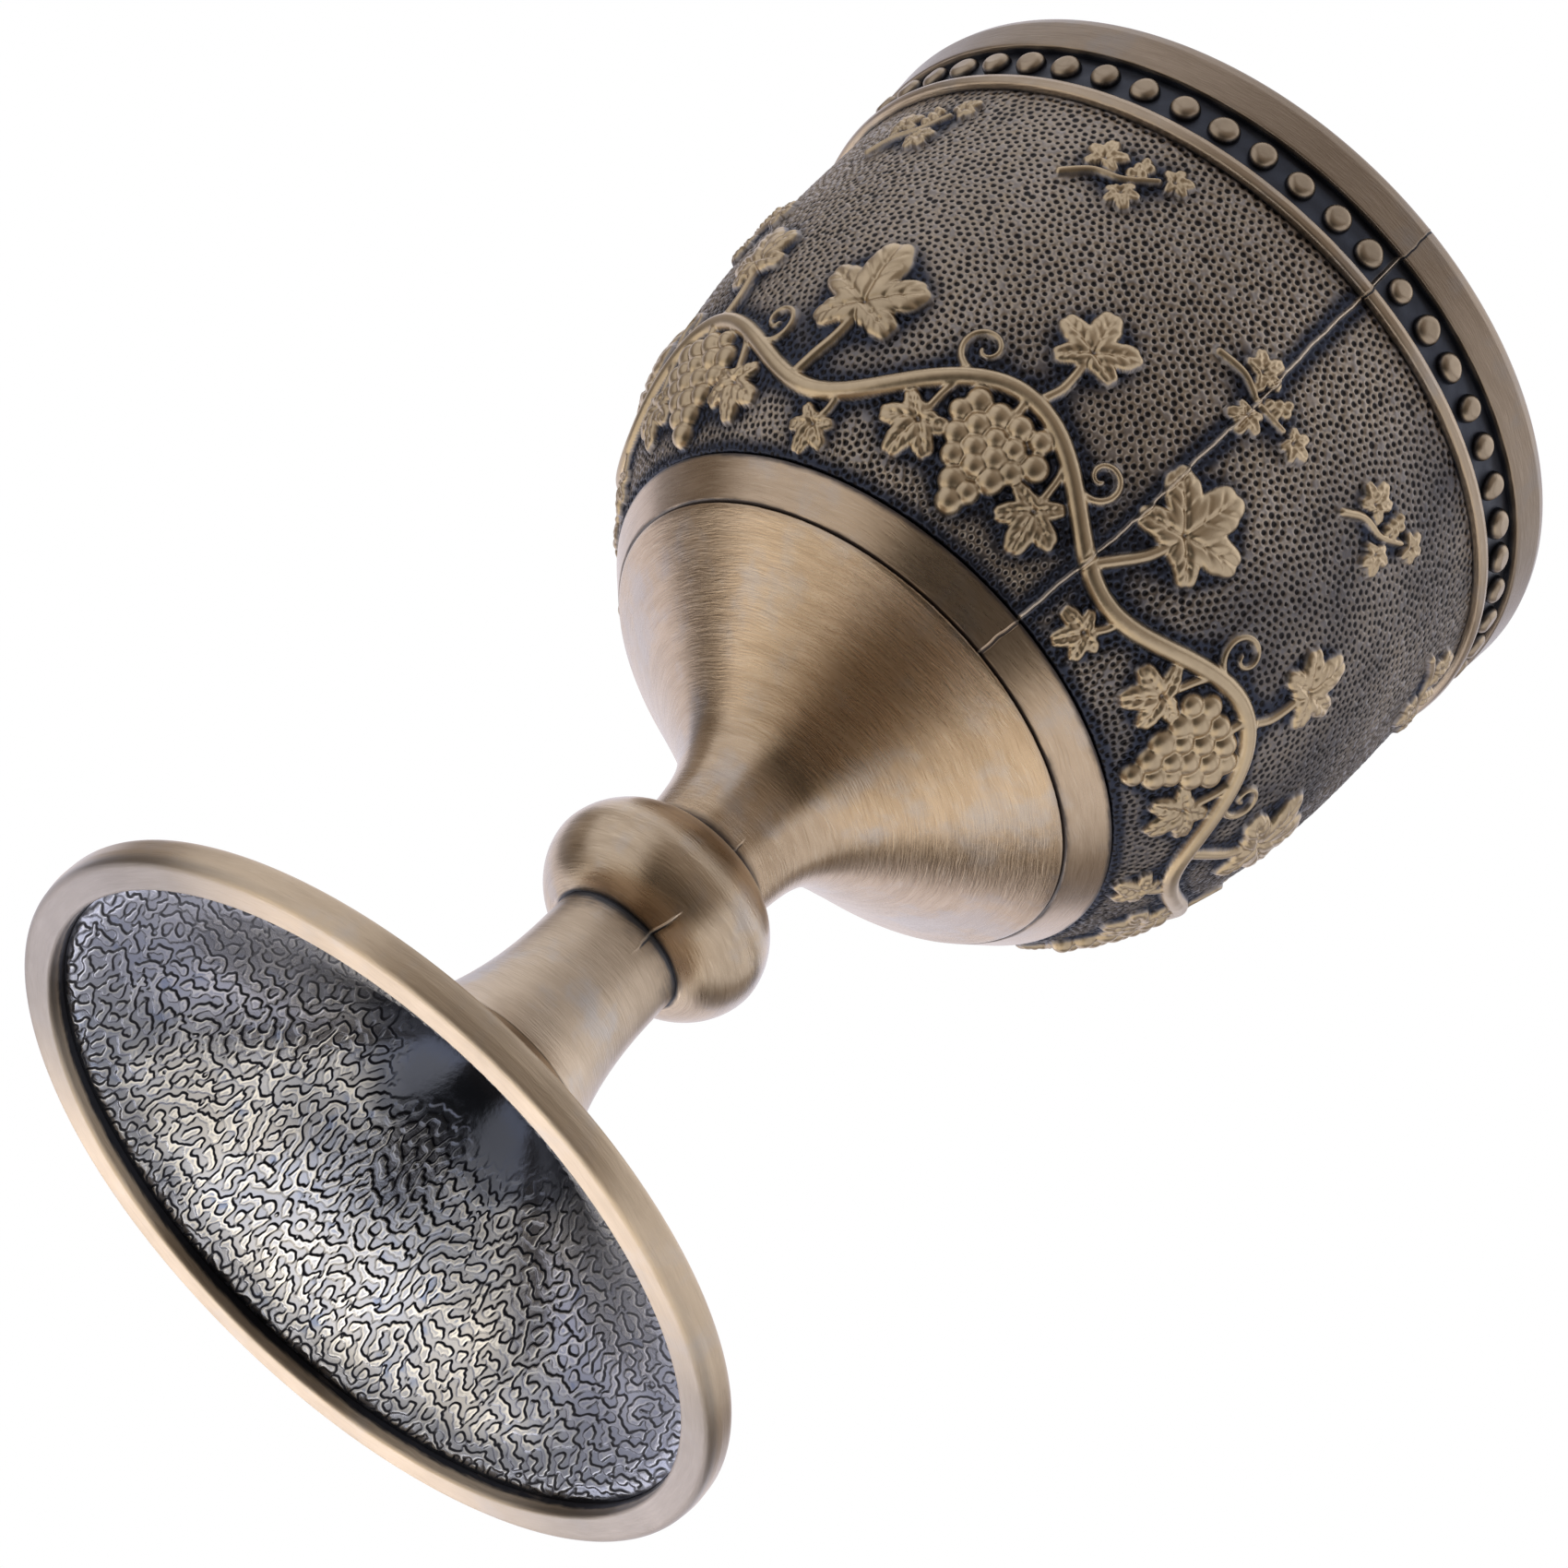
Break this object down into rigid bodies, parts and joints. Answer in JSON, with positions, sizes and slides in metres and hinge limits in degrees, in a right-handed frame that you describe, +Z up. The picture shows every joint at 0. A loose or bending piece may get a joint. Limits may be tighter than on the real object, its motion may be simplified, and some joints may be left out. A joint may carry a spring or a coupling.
{
  "type": "wine goblet",
  "caption": "Footed metal wine goblet with a plain lip, beaded gallery, stippled relief sleeve, trumpet-shaped bowl base, rounded knop, waisted stem and a hollow round foot.",
  "frame": {"origin": "centre of the foot on the surface the goblet stands on", "axes": "+Z up along the goblet's axis from the foot to the lip; -Y is the front, with the bands' joint line a little to its right"},
  "size_m": [0.068, 0.068, 0.11],
  "materials": {
    "lip_brass": "brushed, antiqued",
    "gallery_patina": "blue-black patina with worn bead tops",
    "ridge_brass": "brushed, antiqued",
    "sleeve_patina": "stippled relief, antiqued",
    "band_brass": "brushed, antiqued",
    "cone_brass": "brushed, antiqued",
    "knop_brass": "brushed, antiqued",
    "stem_brass": "brushed, antiqued",
    "foot_patina": "brushed above, crackled and antiqued below",
    "foot_ring_brass": "brushed, worn bright",
    "cup_brass": "satin, spun",
    "fastener_steel": "plain"
  },
  "bodies": {
    "root": {"lip_band": "lip_brass", "bead_gallery": "gallery_patina", "ridge_ring": "ridge_brass", "relief_sleeve": "sleeve_patina", "base_band": "band_brass", "drinking_cup": "cup_brass", "bowl_cone": "cone_brass", "knop": "knop_brass", "stem_column": "stem_brass", "foot": "foot_patina", "foot_ring": "foot_ring_brass", "tie_rod": "fastener_steel", "washer": "fastener_steel", "nut": "fastener_steel"}
  },
  "joints": []
}
